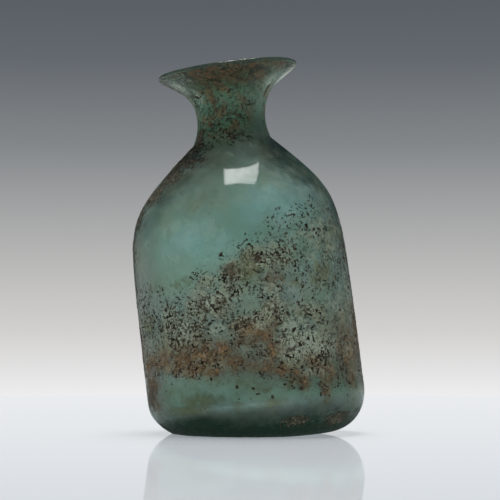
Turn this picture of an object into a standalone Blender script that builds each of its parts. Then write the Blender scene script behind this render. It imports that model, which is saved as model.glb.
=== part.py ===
"""Small free-blown glass medicine bottle of the ancient world.

One piece of blown glass: a round body that leans to -X, a sloping shoulder, a short waisted neck
that bends back a little to +X, and a wide funnel mouth with a wavy, fire-rounded lip. The base
is pushed up in the middle and slumped flat where the hot glass was set down, so the bottle
stands by itself although it leans. Metres, +Z up. The origin is the middle of the whole
bottle's foot print, on the surface that it stands on.
"""

import math

import bpy
from mathutils import Vector

NAME = "bottle"

# Outer shape, measured along the bottle's own axis before it leans
BODY_RADIUS = 0.0291
HEEL_WIDTH = 0.0115  # how far in from the side the rounded heel starts
HEEL_HEIGHT = 0.0108  # where the heel has become the side
SIDE_HEIGHT = 0.0167  # the straight side above the heel
SHOULDER_RISE = 0.0521  # from the top of the straight side to the root of the neck
NECK_ROOT_RADIUS = 0.0105
NECK_WAIST_RADIUS = 0.0092
NECK_RISE = 0.0057  # from the neck's root to its waist
LIP_RADIUS = 0.0189  # out to the lip's edge
MOUTH_RISE = 0.0132  # from the neck's waist to the middle of the lip
KICK_RADIUS = 0.0088  # the push-up under the base
KICK_HEIGHT = 0.0014

# Wall of the glass, square to its outer face
BASE_WALL = 0.0030
BODY_WALL = 0.0018
NECK_WALL = 0.0021
LIP_WALL = 0.0015

# Blown curves: a slope is radius against height, a pull is a share of the curve's rise
SHOULDER_SLOPE = 1.075
SHOULDER_PULL_UP = 0.68
SHOULDER_PULL_DOWN = 0.334
MOUTH_SLOPE = 1.34
MOUTH_PULL_UP = 0.62
MOUTH_PULL_DOWN = 0.24

# How the soft glass settled
LEAN = math.radians(6.93)  # of the body, neck and mouth, towards -X
BASE_LEAN = math.radians(2.92)  # of the base, which the floor held back
LEAN_HEIGHT = 0.0132  # up to here the lean grows from the base's to the body's
SLUMP = 0.0004  # how far the base sank while it was soft
MOUTH_SHIFT = 0.0029  # how far the mouth's middle bent back towards +X
LIP_WAVE = 0.0002  # two low waves round the lip
LIP_WAVE_TURN = math.radians(64.5)

# How finely the faceted solid follows the curves
SIDES = 48
KICK_STEPS = 4
BASE_STEPS = 3
HEEL_STEPS = 8
SIDE_STEPS = 2
SHOULDER_STEPS = 12
NECK_STEPS = 3
MOUTH_STEPS = 8
LIP_STEPS = 5

WELD = 0.00001
SHARP_ANGLE = math.radians(50)
LOWEST = "lowest"

side_top = HEEL_HEIGHT + SIDE_HEIGHT
neck_root = side_top + SHOULDER_RISE
neck_waist = neck_root + NECK_RISE
lip_middle = neck_waist + MOUTH_RISE


def blend(start, end, share):
    return start + (end - start) * share


def ease(value, low, high):
    """0 below low, 1 above high, and a smooth step between them."""
    share = min(1.0, max(0.0, (value - low) / (high - low)))
    return share * share * (3 - 2 * share)


def stretch(count, point_at, wall_start, wall_end):
    """Profile points as (radius, height, wall), without the last, which the next run starts with."""
    run = []
    for step in range(count):
        share = step / count
        radius, height = point_at(share)
        run.append((radius, height, blend(wall_start, wall_end, share)))
    return run


def pulled_curve(start, pull_start, pull_end, end):
    """A cubic curve between two points, as a function of its share."""

    def point_at(share):
        rest = 1 - share
        weights = (rest**3, 3 * share * rest**2, 3 * share**2 * rest, share**3)
        corners = (start, pull_start, pull_end, end)
        return tuple(sum(w * c[axis] for w, c in zip(weights, corners)) for axis in (0, 1))

    return point_at


def lip_frame():
    """The lip's middle, the way that the mouth's wall runs out to it, and the way into the mouth."""
    middle = Vector((LIP_RADIUS - LIP_WALL / 2, lip_middle))
    outward = Vector((MOUTH_SLOPE, 1)).normalized()
    inward = Vector((-outward.y, outward.x))
    return middle, outward, inward


def kick(share):
    return KICK_RADIUS * share, KICK_HEIGHT * (1 + math.cos(math.pi * share)) / 2


def flat_base(share):
    return blend(KICK_RADIUS, BODY_RADIUS - HEEL_WIDTH, share), 0.0


def heel(share):
    turn = share * math.pi / 2
    return (
        BODY_RADIUS - HEEL_WIDTH * (1 - math.sin(turn)),
        HEEL_HEIGHT * (1 - math.cos(turn)),
    )


def straight_side(share):
    return BODY_RADIUS, blend(HEEL_HEIGHT, side_top, share)


def shoulder_curve():
    down = SHOULDER_RISE * SHOULDER_PULL_DOWN
    return pulled_curve(
        (BODY_RADIUS, side_top),
        (BODY_RADIUS, side_top + SHOULDER_RISE * SHOULDER_PULL_UP),
        (NECK_ROOT_RADIUS + SHOULDER_SLOPE * down, neck_root - down),
        (NECK_ROOT_RADIUS, neck_root),
    )


def neck_curve():
    return pulled_curve(
        (NECK_ROOT_RADIUS, neck_root),
        (blend(NECK_ROOT_RADIUS, NECK_WAIST_RADIUS, 0.5), blend(neck_root, neck_waist, 0.3)),
        (NECK_WAIST_RADIUS, blend(neck_root, neck_waist, 0.6)),
        (NECK_WAIST_RADIUS, neck_waist),
    )


def mouth_curve():
    middle, _, inward = lip_frame()
    end = middle - inward * LIP_WALL / 2
    down = MOUTH_RISE * MOUTH_PULL_DOWN
    return pulled_curve(
        (NECK_WAIST_RADIUS, neck_waist),
        (NECK_WAIST_RADIUS, neck_waist + MOUTH_RISE * MOUTH_PULL_UP),
        (end.x - MOUTH_SLOPE * down, end.y - down),
        (end.x, end.y),
    )


def outer_run():
    """The outer face from the middle of the base up to the lip."""
    return (
        stretch(KICK_STEPS, kick, BASE_WALL, BASE_WALL)
        + stretch(BASE_STEPS, flat_base, BASE_WALL, BASE_WALL)
        + stretch(HEEL_STEPS, heel, BASE_WALL, BODY_WALL)
        + stretch(SIDE_STEPS, straight_side, BODY_WALL, BODY_WALL)
        + stretch(SHOULDER_STEPS, shoulder_curve(), BODY_WALL, NECK_WALL)
        + stretch(NECK_STEPS, neck_curve(), NECK_WALL, NECK_WALL)
        + stretch(MOUTH_STEPS, mouth_curve(), NECK_WALL, LIP_WALL)
    )


def inner_run(outer):
    """The inner face, one wall's thickness inside each outer point and in the same order."""
    middle, _, inward = lip_frame()
    lip_end = middle - inward * LIP_WALL / 2
    ahead_of = outer[1:] + [(lip_end.x, lip_end.y, LIP_WALL)]
    inner = [(0.0, outer[0][1] + outer[0][2])]
    for behind, here, ahead in zip(outer, outer[1:], ahead_of[1:]):
        along = Vector((ahead[0] - behind[0], ahead[1] - behind[1])).normalized()
        inner.append((here[0] - along.y * here[2], here[1] + along.x * here[2]))
    return inner


def lip_run():
    """The rounded edge of the lip, from its inner corner over to its outer one."""
    middle, outward, inward = lip_frame()
    run = []
    for step in range(LIP_STEPS + 1):
        turn = math.pi * step / LIP_STEPS
        point = middle + (inward * math.cos(turn) + outward * math.sin(turn)) * LIP_WALL / 2
        run.append((point.x, point.y))
    return run


def whole_profile():
    """From the middle of the inner floor up the inside, over the lip and down the outside.

    Each point is (radius, height, the lowest that it can sink to).
    """
    outer = outer_run()
    inside_up = [(radius, height, BASE_WALL) for radius, height in inner_run(outer)]
    over = [(radius, height, 0.0) for radius, height in lip_run()]
    outside_down = [(radius, height, 0.0) for radius, height, _ in reversed(outer)]
    return inside_up + over + outside_down


def turned_mesh(name, profile):
    """The profile turned round Z with a Screw modifier, as a mesh that keeps each point's lowest."""
    line = bpy.data.meshes.new(name + "_profile")
    points = [(radius, 0, height) for radius, height, _ in profile]
    edges = [(i, i + 1) for i in range(len(points) - 1)]
    line.from_pydata(points, edges, [])
    lowest = line.attributes.new(LOWEST, "FLOAT", "POINT")
    for value, point in zip(lowest.data, profile):
        value.value = point[2]
    guide = bpy.data.objects.new(name + "_profile", line)
    bpy.context.scene.collection.objects.link(guide)
    screw = guide.modifiers.new("turn", "SCREW")
    screw.axis = "Z"
    screw.steps = SIDES
    screw.render_steps = SIDES
    screw.use_merge_vertices = True
    screw.merge_threshold = WELD
    graph = bpy.context.evaluated_depsgraph_get()
    mesh = bpy.data.meshes.new_from_object(guide.evaluated_get(graph))
    bpy.data.objects.remove(guide)
    bpy.data.meshes.remove(line)
    mesh.name = name
    return mesh


def settled(point, lowest):
    """Where a point of the upright bottle came to lie when the soft glass leaned and slumped."""
    wave = LIP_WAVE * math.sin(2 * (math.atan2(point.y, point.x) + LIP_WAVE_TURN))
    height = point.z + wave * ease(point.z, neck_waist, lip_middle)
    across = point.x + MOUTH_SHIFT * ease(point.z, side_top + SHOULDER_RISE / 2, lip_middle)
    turn = blend(BASE_LEAN, LEAN, ease(point.z, 0, LEAN_HEIGHT))
    return Vector((
        across * math.cos(turn) - height * math.sin(turn),
        point.y,
        max(lowest, across * math.sin(turn) + height * math.cos(turn) - SLUMP),
    ))


def settle(mesh):
    """Leans the whole mesh, then centres its foot print on the origin."""
    for vertex, lowest in zip(mesh.vertices, mesh.attributes[LOWEST].data):
        vertex.co = settled(vertex.co, lowest.value)
    mesh.attributes.remove(mesh.attributes[LOWEST])
    left = min(vertex.co.x for vertex in mesh.vertices)
    right = max(vertex.co.x for vertex in mesh.vertices)
    for vertex in mesh.vertices:
        vertex.co.x -= (left + right) / 2


def glass():
    """Blue-green glass dulled by burial."""
    material = bpy.data.materials.new("weathered_glass")
    material.use_nodes = True
    shader = material.node_tree.nodes["Principled BSDF"]
    shader.inputs["Base Color"].default_value = (0.13, 0.26, 0.22, 1)
    shader.inputs["Roughness"].default_value = 0.25
    shader.inputs["Metallic"].default_value = 0
    shader.inputs["IOR"].default_value = 1.5
    shader.inputs["Transmission Weight"].default_value = 0.7
    return material


def clear_scene():
    for old in list(bpy.data.objects):
        bpy.data.objects.remove(old)


def main():
    clear_scene()
    collection = bpy.data.collections.new("medicine_bottle")
    bpy.context.scene.collection.children.link(collection)
    mesh = turned_mesh(NAME, whole_profile())
    settle(mesh)
    mesh.materials.append(glass())
    mesh.shade_smooth()
    mesh.set_sharp_from_angle(angle=SHARP_ANGLE)
    collection.objects.link(bpy.data.objects.new(NAME, mesh))


main()
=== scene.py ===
# %% [markdown]
# # A leaning medicine bottle of the ancient world
#
# This lesson dresses one small bottle that was blown by hand, buried for a long time and dug up
# again. Burial pitted its lower half, packed soil into the pits and left crusts on the shoulder, the
# neck and the mouth.
#
# The bottle could be sculpted, or turned as one profile. It is turned here, because a glassblower
# turns a bottle too: everything is made on an upright bottle first, and one function then lets it
# lean and sink, as the soft glass once did. Soil and crust are made on the upright bottle in the same
# way, so they always lie on the glass.

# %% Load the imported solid
import math
from bisect import bisect_right
from functools import partial

import bmesh
import bpy
import numpy as np
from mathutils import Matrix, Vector, noise


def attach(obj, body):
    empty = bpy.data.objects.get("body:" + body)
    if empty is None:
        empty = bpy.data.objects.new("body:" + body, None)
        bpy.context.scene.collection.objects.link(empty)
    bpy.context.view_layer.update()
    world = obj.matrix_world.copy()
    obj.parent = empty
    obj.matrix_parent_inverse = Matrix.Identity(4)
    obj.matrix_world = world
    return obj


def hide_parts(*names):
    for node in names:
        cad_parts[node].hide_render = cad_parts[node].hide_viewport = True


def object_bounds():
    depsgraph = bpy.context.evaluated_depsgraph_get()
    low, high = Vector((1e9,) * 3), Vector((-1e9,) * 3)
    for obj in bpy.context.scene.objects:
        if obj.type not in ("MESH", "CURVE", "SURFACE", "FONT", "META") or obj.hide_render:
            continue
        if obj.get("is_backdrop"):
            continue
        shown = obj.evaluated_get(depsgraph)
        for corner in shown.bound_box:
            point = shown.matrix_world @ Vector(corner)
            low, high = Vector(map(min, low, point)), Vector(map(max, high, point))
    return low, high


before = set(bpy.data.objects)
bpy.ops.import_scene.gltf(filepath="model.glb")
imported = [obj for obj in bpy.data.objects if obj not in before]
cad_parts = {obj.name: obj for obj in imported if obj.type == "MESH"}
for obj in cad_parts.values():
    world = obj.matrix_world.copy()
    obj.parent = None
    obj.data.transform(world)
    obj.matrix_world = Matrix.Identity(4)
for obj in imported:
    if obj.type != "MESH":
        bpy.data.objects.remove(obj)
solid_low, solid_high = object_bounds()
MM = 0.001
print("packed solid, mm:", [round(side / MM, 1) for side in solid_high - solid_low])

# %% [markdown]
# ## The camera
#
# The photographer stood low, a little above the table, with a long lens half a metre away. A long lens
# keeps the shoulder and the heel from bulging. The numbers come from the outline of the bottle: this
# camera puts the solid's edge on the photographed one.

# %% Camera
CAMERA_PLACE = Vector((0.43, -494, 25.8)) * MM
CAMERA_AIM = Vector((0.43, 0, 49.48)) * MM
VIEW_ANGLE = math.radians(15.6)


def placed(name, data):
    """A new object with this data, in the scene."""
    made = bpy.data.objects.new(name, data)
    bpy.context.scene.collection.objects.link(made)
    return made


camera_data = bpy.data.cameras.new("camera")
camera_data.lens = camera_data.sensor_width / 2 / math.tan(VIEW_ANGLE / 2)
camera_data.clip_start = 0.01
camera = placed("camera", camera_data)
camera.location = CAMERA_PLACE
camera.rotation_euler = (CAMERA_AIM - CAMERA_PLACE).to_track_quat("-Z", "Y").to_euler()
bpy.context.scene.camera = camera
print("lens, mm:", round(camera_data.lens, 1))

# %% [markdown]
# ## Small helpers for node trees
#
# Materials and the world are all node trees. A few helpers keep them short: one fills sockets, one adds
# a node, and the others give a sum, a soft step between two values and a mix of two.

# %% Node helpers
def fill(node, inputs):
    """Fills sockets, by name or number, with values or with what other sockets give."""
    for name, value in inputs.items():
        if isinstance(value, bpy.types.NodeSocket):
            node.id_data.links.new(value, node.inputs[name])
        else:
            node.inputs[name].default_value = value


def add(tree, kind, inputs=None, **settings):
    """A new node of this kind, with its sockets filled."""
    node = tree.nodes.new(kind)
    for name, value in settings.items():
        setattr(node, name, value)
    fill(node, inputs or {})
    return node


def math_node(tree, operation, first, second=0.0):
    """The result of one sum on numbers or sockets."""
    return add(tree, "ShaderNodeMath", {0: first, 1: second}, operation=operation).outputs[0]


def times(tree, first, second):
    """The product of two numbers or sockets."""
    return math_node(tree, "MULTIPLY", first, second)


def remap(tree, value, low, high, to_low=0.0, to_high=1.0):
    """value from low..high to to_low..to_high, clamped, with a soft step."""
    node = add(tree, "ShaderNodeMapRange", {
        "Value": value, "From Min": low, "From Max": high, "To Min": to_low, "To Max": to_high,
    }, interpolation_type="SMOOTHSTEP")
    return node.outputs["Result"]


def mix(tree, share, first, second, kind="RGBA"):
    """first where share is 0 and second where it is 1."""
    inputs = {"Factor": share, "A": first, "B": second}
    return add(tree, "ShaderNodeMix", inputs, data_type=kind).outputs["Result"]


def new_material(name):
    """A material, its node tree and its shader."""
    made = bpy.data.materials.new(name)
    made.use_nodes = True
    return made, made.node_tree, made.node_tree.nodes["Principled BSDF"]


# %% [markdown]
# ## The backdrop and the light
#
# The backdrop is a plain sweep that runs from near white at the table to a dark blue-grey above. Glass
# shows what is around it, so the backdrop has to be there on every side and not only behind. A world
# whose brightness depends on the height of the ray alone does this with one colour ramp.

# %% World
SWEEP = [  # degrees above the horizon, and the light that comes from there
    (-2.0, (0.87, 0.87, 0.88)),
    (0.2, (0.64, 0.63, 0.62)),
    (3.0, (0.43, 0.43, 0.43)),
    (6.0, (0.225, 0.24, 0.25)),
    (8.7, (0.126, 0.139, 0.157)),
    (14.0, (0.06, 0.068, 0.08)),
    (24.0, (0.03, 0.033, 0.04)),
    (70.0, (0.03, 0.033, 0.04)),
]
lowest_ray = math.sin(math.radians(SWEEP[0][0]))
highest_ray = math.sin(math.radians(SWEEP[-1][0]))

world = bpy.data.worlds.new("sweep")
bpy.context.scene.world = world
world.use_nodes = True
tree = world.node_tree
ray = add(tree, "ShaderNodeTexCoord").outputs["Generated"]
height = add(tree, "ShaderNodeSeparateXYZ", {0: ray}).outputs["Z"]
share = add(tree, "ShaderNodeMapRange", {"Value": height, "From Min": lowest_ray, "From Max": highest_ray})
ramp = add(tree, "ShaderNodeValToRGB", {0: share.outputs["Result"]})
stops = ramp.color_ramp.elements
for number, (degrees, colour) in enumerate(SWEEP):
    place = (math.sin(math.radians(degrees)) - lowest_ray) / (highest_ray - lowest_ray)
    stop = stops[number] if number < 2 else stops.new(place)
    stop.position = place
    stop.color = (*colour, 1)
fill(tree.nodes["Background"], {"Color": ramp.outputs["Color"]})
bpy.context.scene.view_settings.view_transform = "Standard"
print("sweep stops:", len(stops))

# %% [markdown]
# ## The table
#
# The bottle stands on a sheet of glossy white plastic. Its far edge shows as a faint line behind the
# bottle, so the sheet is a disc, which has that edge at the same distance from every side.

# %% Table
TABLE_RADIUS = 0.33
TABLE_THICKNESS = 0.006
TABLE_GAP = 0.00004  # under the bottle, so that two faces never share one plane

table_mesh = bmesh.new()
bmesh.ops.create_cone(
    table_mesh, cap_ends=True, segments=256, radius1=TABLE_RADIUS, radius2=TABLE_RADIUS, depth=TABLE_THICKNESS
)
bmesh.ops.translate(table_mesh, verts=table_mesh.verts, vec=(0, 0, -TABLE_THICKNESS / 2 - TABLE_GAP))
table = placed("table", bpy.data.meshes.new("table"))
table_mesh.to_mesh(table.data)
table_mesh.free()

plastic, _, shader = new_material("white_plastic")
fill(shader, {
    "Base Color": (0.78, 0.80, 0.84, 1), "Roughness": 0.04, "IOR": 1.45,
    "Emission Color": (0.88, 0.94, 1.0, 1), "Emission Strength": 0.31,
})
table.data.materials.append(plastic)
table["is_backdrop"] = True

# %% [markdown]
# One large softbox hangs over the bottle. It gives the bright four-sided glint on the shoulder and the
# light on the soil. The white table throws it back up at the underside of the mouth.

# %% Softbox
SOFTBOX_PLACE = Vector((-0.006, 0.075, 1.10))
SOFTBOX_SIZE = (0.48, 0.70)
SOFTBOX_TURN = math.radians(-3)  # seen from above
SOFTBOX_GLOW = 10.6  # watts that each square metre sends to each steradian
lamp = bpy.data.lights.new("softbox", "AREA")
lamp.shape = "RECTANGLE"
lamp.size, lamp.size_y = SOFTBOX_SIZE
lamp.energy = SOFTBOX_GLOW * math.pi * SOFTBOX_SIZE[0] * SOFTBOX_SIZE[1]
softbox = placed("softbox", lamp)
softbox.location = SOFTBOX_PLACE
across, away, up = SOFTBOX_PLACE
softbox.rotation_euler = (-math.atan2(away, up), math.atan2(across, up), SOFTBOX_TURN)
print("softbox, watts:", round(lamp.energy, 2))

# %% [markdown]
# ## The upright bottle
#
# A blown bottle is round about its own axis. Its outer line is a push-up, a flat ring, a rounded
# heel, a straight side, one long curve over the shoulder, a short neck and a trumpet mouth. The curves
# could be many points picked by hand. Cubic curves with two pulls each need only a few sizes, and
# stay smooth at any number of steps.

# %% Sizes, in metres, along the bottle's own axis
BODY_RADIUS = 0.0291
HEEL_WIDTH = 0.0115
HEEL_HEIGHT = 0.0108
SIDE_HEIGHT = 0.0167
SHOULDER_RISE = 0.0521
NECK_ROOT_RADIUS = 0.0105
NECK_WAIST_RADIUS = 0.0092
NECK_RISE = 0.0057
LIP_RADIUS = 0.0189
MOUTH_RISE = 0.0132
KICK_RADIUS = 0.0088
KICK_HEIGHT = 0.0014
BASE_WALL = 0.003
BODY_WALL = 0.0018
NECK_WALL = 0.0021
LIP_WALL = 0.0015
SHOULDER_SLOPE = 1.075
SHOULDER_PULL_UP = 0.68
SHOULDER_PULL_DOWN = 0.334
MOUTH_SLOPE = 1.34
MOUTH_PULL_UP = 0.62
MOUTH_PULL_DOWN = 0.24

side_top = HEEL_HEIGHT + SIDE_HEIGHT
neck_root = side_top + SHOULDER_RISE
neck_waist = neck_root + NECK_RISE
lip_middle = neck_waist + MOUTH_RISE
print("upright height to the lip, mm:", round(lip_middle / MM, 1))


# %% Outer line
def blend(start, end, share):
    return start + (end - start) * share


def ease(value, low, high):
    """0 below low, 1 above high, and a smooth step between them."""
    share = min(1.0, max(0.0, (value - low) / (high - low)))
    return share * share * (3 - 2 * share)


def pulled_curve(*corners):
    """A cubic curve through its first and last corner, as a function of its share."""
    def point_at(share):
        rest = 1 - share
        weights = (rest**3, 3 * share * rest**2, 3 * share**2 * rest, share**3)
        return sum((weight * Vector(corner) for weight, corner in zip(weights, corners)), Vector((0, 0)))
    return point_at


def kick(share):
    return Vector((KICK_RADIUS * share, KICK_HEIGHT * (1 + math.cos(math.pi * share)) / 2))


def flat_ring(share):
    return Vector((blend(KICK_RADIUS, BODY_RADIUS - HEEL_WIDTH, share), 0))


def heel(share):
    turn = share * math.pi / 2
    return Vector((BODY_RADIUS - HEEL_WIDTH * (1 - math.sin(turn)), HEEL_HEIGHT * (1 - math.cos(turn))))


def side(share):
    return Vector((BODY_RADIUS, blend(HEEL_HEIGHT, side_top, share)))


shoulder_drop = SHOULDER_RISE * SHOULDER_PULL_DOWN
shoulder = pulled_curve(
    (BODY_RADIUS, side_top),
    (BODY_RADIUS, side_top + SHOULDER_RISE * SHOULDER_PULL_UP),
    (NECK_ROOT_RADIUS + SHOULDER_SLOPE * shoulder_drop, neck_root - shoulder_drop),
    (NECK_ROOT_RADIUS, neck_root),
)
neck = pulled_curve(
    (NECK_ROOT_RADIUS, neck_root),
    (blend(NECK_ROOT_RADIUS, NECK_WAIST_RADIUS, 0.5), blend(neck_root, neck_waist, 0.3)),
    (NECK_WAIST_RADIUS, blend(neck_root, neck_waist, 0.6)),
    (NECK_WAIST_RADIUS, neck_waist),
)
lip_outward = Vector((MOUTH_SLOPE, 1)).normalized()
lip_inward = Vector((-lip_outward.y, lip_outward.x))
lip_centre = Vector((LIP_RADIUS - LIP_WALL / 2, lip_middle))
mouth_end = lip_centre - lip_inward * LIP_WALL / 2
mouth_drop = MOUTH_RISE * MOUTH_PULL_DOWN
mouth = pulled_curve(
    (NECK_WAIST_RADIUS, neck_waist),
    (NECK_WAIST_RADIUS, neck_waist + MOUTH_RISE * MOUTH_PULL_UP),
    (mouth_end.x - MOUTH_SLOPE * mouth_drop, mouth_end.y - mouth_drop),
    mouth_end,
)
print("the neck starts at, mm:", round(neck_root / MM, 1))

# %% [markdown]
# The inner line follows the outer one, a wall's thickness inside it. The wall is thick at the base,
# thin on the body and thicker again at the neck, where a blower's bubble stretches least.

# %% Both lines of the wall
STRETCHES = [  # curve, steps, wall where it starts, wall where it ends
    (kick, 10, BASE_WALL, BASE_WALL),
    (flat_ring, 5, BASE_WALL, BASE_WALL),
    (heel, 22, BASE_WALL, BODY_WALL),
    (side, 16, BODY_WALL, BODY_WALL),
    (shoulder, 56, BODY_WALL, NECK_WALL),
    (neck, 10, NECK_WALL, NECK_WALL),
    (mouth, 22, NECK_WALL, LIP_WALL),
]
LIP_STEPS = 10

outer_line, walls = [], []
for curve, steps, wall_start, wall_end in STRETCHES:
    for step in range(steps):
        outer_line.append(curve(step / steps))
        walls.append(blend(wall_start, wall_end, step / steps))
outer_line.append(mouth_end)
walls.append(LIP_WALL)

outward_normals = [Vector((0, -1))]
for behind, ahead in zip(outer_line, outer_line[2:]):
    along = (ahead - behind).normalized()
    outward_normals.append(Vector((along.y, -along.x)))
outward_normals.append(-lip_inward)
inner_line = [point - normal * wall for point, normal, wall in zip(outer_line, outward_normals, walls)]
lip_line = [
    lip_centre + (lip_inward * math.cos(turn) + lip_outward * math.sin(turn)) * LIP_WALL / 2
    for turn in (math.pi * step / LIP_STEPS for step in range(1, LIP_STEPS))
]
print("points on the outer line:", len(outer_line), "and round the lip:", len(lip_line))

# %% [markdown]
# ## How the glass leaned and sank
#
# While it was soft, the bottle leaned, its mouth bent back a little and its base sank flat onto
# the marver. This could be a lattice or an armature. One function is plainer and works for any
# piece: it takes a point of the upright bottle and says where it came to lie. A slow noise adds the
# unevenness of hand work, a few tenths of a millimetre.

# %% Settling
LEAN = math.radians(6.93)
BASE_LEAN = math.radians(2.92)
LEAN_HEIGHT = 0.0132
SLUMP = 0.0004
MOUTH_SHIFT = 0.0029
LIP_WAVE = 0.0002
LIP_WAVE_TURN = math.radians(64.5)
HAND_WAVE = 0.00018
HAND_WAVE_SIZE = 0.03
WALL_WAVE = 0.00022  # how unevenly the inside follows the outside
WALL_WAVE_SIZE = 0.011


def settled(point, lowest=0.0):
    """Where a point of the upright bottle came to lie, before the bottle is centred."""
    wave = LIP_WAVE * math.sin(2 * (math.atan2(point.y, point.x) + LIP_WAVE_TURN))
    rise = point.z + wave * ease(point.z, neck_waist, lip_middle)
    across = point.x + MOUTH_SHIFT * ease(point.z, side_top + SHOULDER_RISE / 2, lip_middle)
    turn = blend(BASE_LEAN, LEAN, ease(point.z, 0, LEAN_HEIGHT))
    return Vector((
        across * math.cos(turn) - rise * math.sin(turn),
        point.y,
        max(lowest, across * math.sin(turn) + rise * math.cos(turn) - SLUMP),
    ))


def uneven(point, inside):
    """The upright point, moved in or out a little as hand-blown glass is."""
    flat = Vector((point.x, point.y, 0))
    if flat.length < 1e-6:
        return point
    free = ease(point.z, 0.001, HEEL_HEIGHT) * (1 - ease(point.z, neck_waist, lip_middle))
    amount = HAND_WAVE * noise.noise(point / HAND_WAVE_SIZE + Vector((2, 6, 4)))
    if inside:
        amount += WALL_WAVE * noise.noise(point / WALL_WAVE_SIZE + Vector((7, 3, 5)))
    return point + flat.normalized() * amount * free


rim_and_side = [
    settled(Vector((line.x * math.cos(turn), line.x * math.sin(turn), line.y))).x
    for line in outer_line + lip_line
    for turn in (math.radians(degrees) for degrees in range(0, 360, 3))
]
centre_shift = (min(rim_and_side) + max(rim_and_side)) / 2
print("centre shift, mm:", round(centre_shift / MM, 2))


def settle(built):
    """Moves every vertex of an upright bmesh to where the glass came to lie."""
    inside_layer, lowest_layer = (built.verts.layers.float[name] for name in ("inside", "lowest"))
    for vertex in built.verts:
        moved = uneven(vertex.co, vertex[inside_layer] > 0.5)
        vertex.co = settled(moved, vertex[lowest_layer])
        vertex.co.x -= centre_shift


# %% [markdown]
# ## A map of the weathering
#
# Wet soil lay against one part of the bottle and not another, so its marks have places. They could be
# painted by hand. Here each kind of mark is a short list of soft spots on the upright bottle: degrees
# round from the front, height, half width, half height in millimetres, and strength. The same map
# drives the colours of the glass and of its film, the painted shade and the painted glow among them, and
# the shape of the soil and crust.

# %% Places on the bottle
def places_of(points):
    """Degrees round from the front, to the right, and heights in mm, of many upright points."""
    across, away, up = np.array(points, dtype=float).T
    return np.degrees(np.arctan2(across, -away)), up / MM


def eased(values, low, high):
    """What ease gives, for many values at once."""
    share = np.clip((values - low) / (high - low), 0, 1)
    return share * share * (3 - 2 * share)


def spot_strength(spots, turns, rises):
    """How strongly the strongest of these spots marks each place, from 0 to 1."""
    strongest = np.zeros(len(turns))
    for spot_turn, spot_rise, half_width, half_height, strength in spots:
        apart = (turns - spot_turn + 180) % 360 - 180
        across = np.radians(apart) * BODY_RADIUS / MM / half_width
        up = (rises - spot_rise) / half_height
        strongest = np.maximum(strongest, strength * np.exp(-across * across - up * up))
    return strongest


def level_at(stops, turns):
    """A height that changes round the bottle, from (degrees, height) stops."""
    return np.interp(turns, *zip(*stops), period=360)


# %% [markdown]
# Pitting starts under a slanting line, high on the right and low on the left, and ends above the heel.
# Between the two lines it is even, apart from crowded clusters and a few gaps that stayed sound. The
# photograph shows the front half. Round the back the lines are carried on at about the same heights.

# %% Pitted zone
PITS_TOP = [
    (-90, 46), (-66, 47), (-30, 45.5), (-16, 48), (2, 55.5), (22, 61), (52, 63), (80, 61.5), (125, 50),
    (180, 54), (225, 47),
]
PITS_FOOT = [(-90, 19), (-61, 20), (-25, 18), (-4, 17), (23, 11.5), (60, 10), (120, 13), (190, 16)]
PIT_CLUSTERS = [
    (-4.5, 43.6, 3.6, 3, 1), (8, 46.4, 3.6, 2.6, 1), (19, 46, 3.6, 3, 0.8), (-20, 42, 2.8, 3.4, 0.7),
    (-13, 35.4, 4, 3, 0.95), (-23, 36.3, 3.4, 3.2, 0.9), (15, 32.6, 3.2, 3, 0.9), (33, 31.6, 5.5, 2.6, 0.55),
    (22, 22.5, 3.6, 4.5, 0.75), (37, 21.5, 4, 4, 0.6), (0.5, 29.6, 5, 2.6, 0.85), (-30.5, 29.6, 4.5, 3, 0.6),
    (-43, 33, 3, 4, 0.6), (-40, 27, 6, 3, 0.6), (-33, 20, 9, 2.6, 0.8), (-6, 39, 3, 2.4, 0.7),
    (16, 84.5, 8, 2.8, 2.2), (2, 80.5, 14, 1.8, 2.2), (-54, 92, 9, 3, 2.1), (-34, 83, 9, 3, 2.1),
    (-6, 92, 9, 0.8, 2.1), (-16, 87, 5, 2.5, 1.9), (34, 88, 7, 1.5, 1.8), (-45, 79, 10, 2, 1.8),
    (-70, 96.5, 9, 1.5, 1.8), (45, 96, 12, 1.5, 1.2), (55, 55, 12, 7, 0.2), (75, 60, 8, 10, 0.2),
    (8, 13, 18, 2.5, 0.12), (150, 40, 7, 5, 0.9), (200, 32, 8, 4, 0.9), (110, 28, 6, 5, 0.8),
    (250, 36, 6, 4, 0.8), (160, 84, 24, 5, 0.7), (210, 12, 18, 2.5, 0.3),
]
PIT_GAPS = [
    (-16, 29.5, 4, 3, 0.6), (24, 29, 3.5, 2, 0.5), (0, 34.5, 5, 3.5, 0.7), (27, 39, 6, 3.5, 0.5),
    (33, 35, 7, 3, 0.5), (14, 27, 3, 2, 0.5), (120, 35, 8, 5, 0.6),
]

EVEN_PITTING = 0.4
CLUSTER_PITTING = 0.65
MOST_PITTED = 1.4


def pit_density(turns, rises):
    """0 where the glass is sound, and above 1 where it is pitted most."""
    top = level_at(PITS_TOP, turns)
    foot = level_at(PITS_FOOT, turns)
    even = EVEN_PITTING * (1 - eased(rises, top - 12, top + 1)) * eased(rises, foot - 2, foot + 3)
    even *= 1 - spot_strength(PIT_GAPS, turns, rises)
    crowded = CLUSTER_PITTING * spot_strength(PIT_CLUSTERS, turns, rises)
    return np.minimum(MOST_PITTED, even + crowded)


print("pit clusters:", len(PIT_CLUSTERS), "and gaps:", len(PIT_GAPS))
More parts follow.
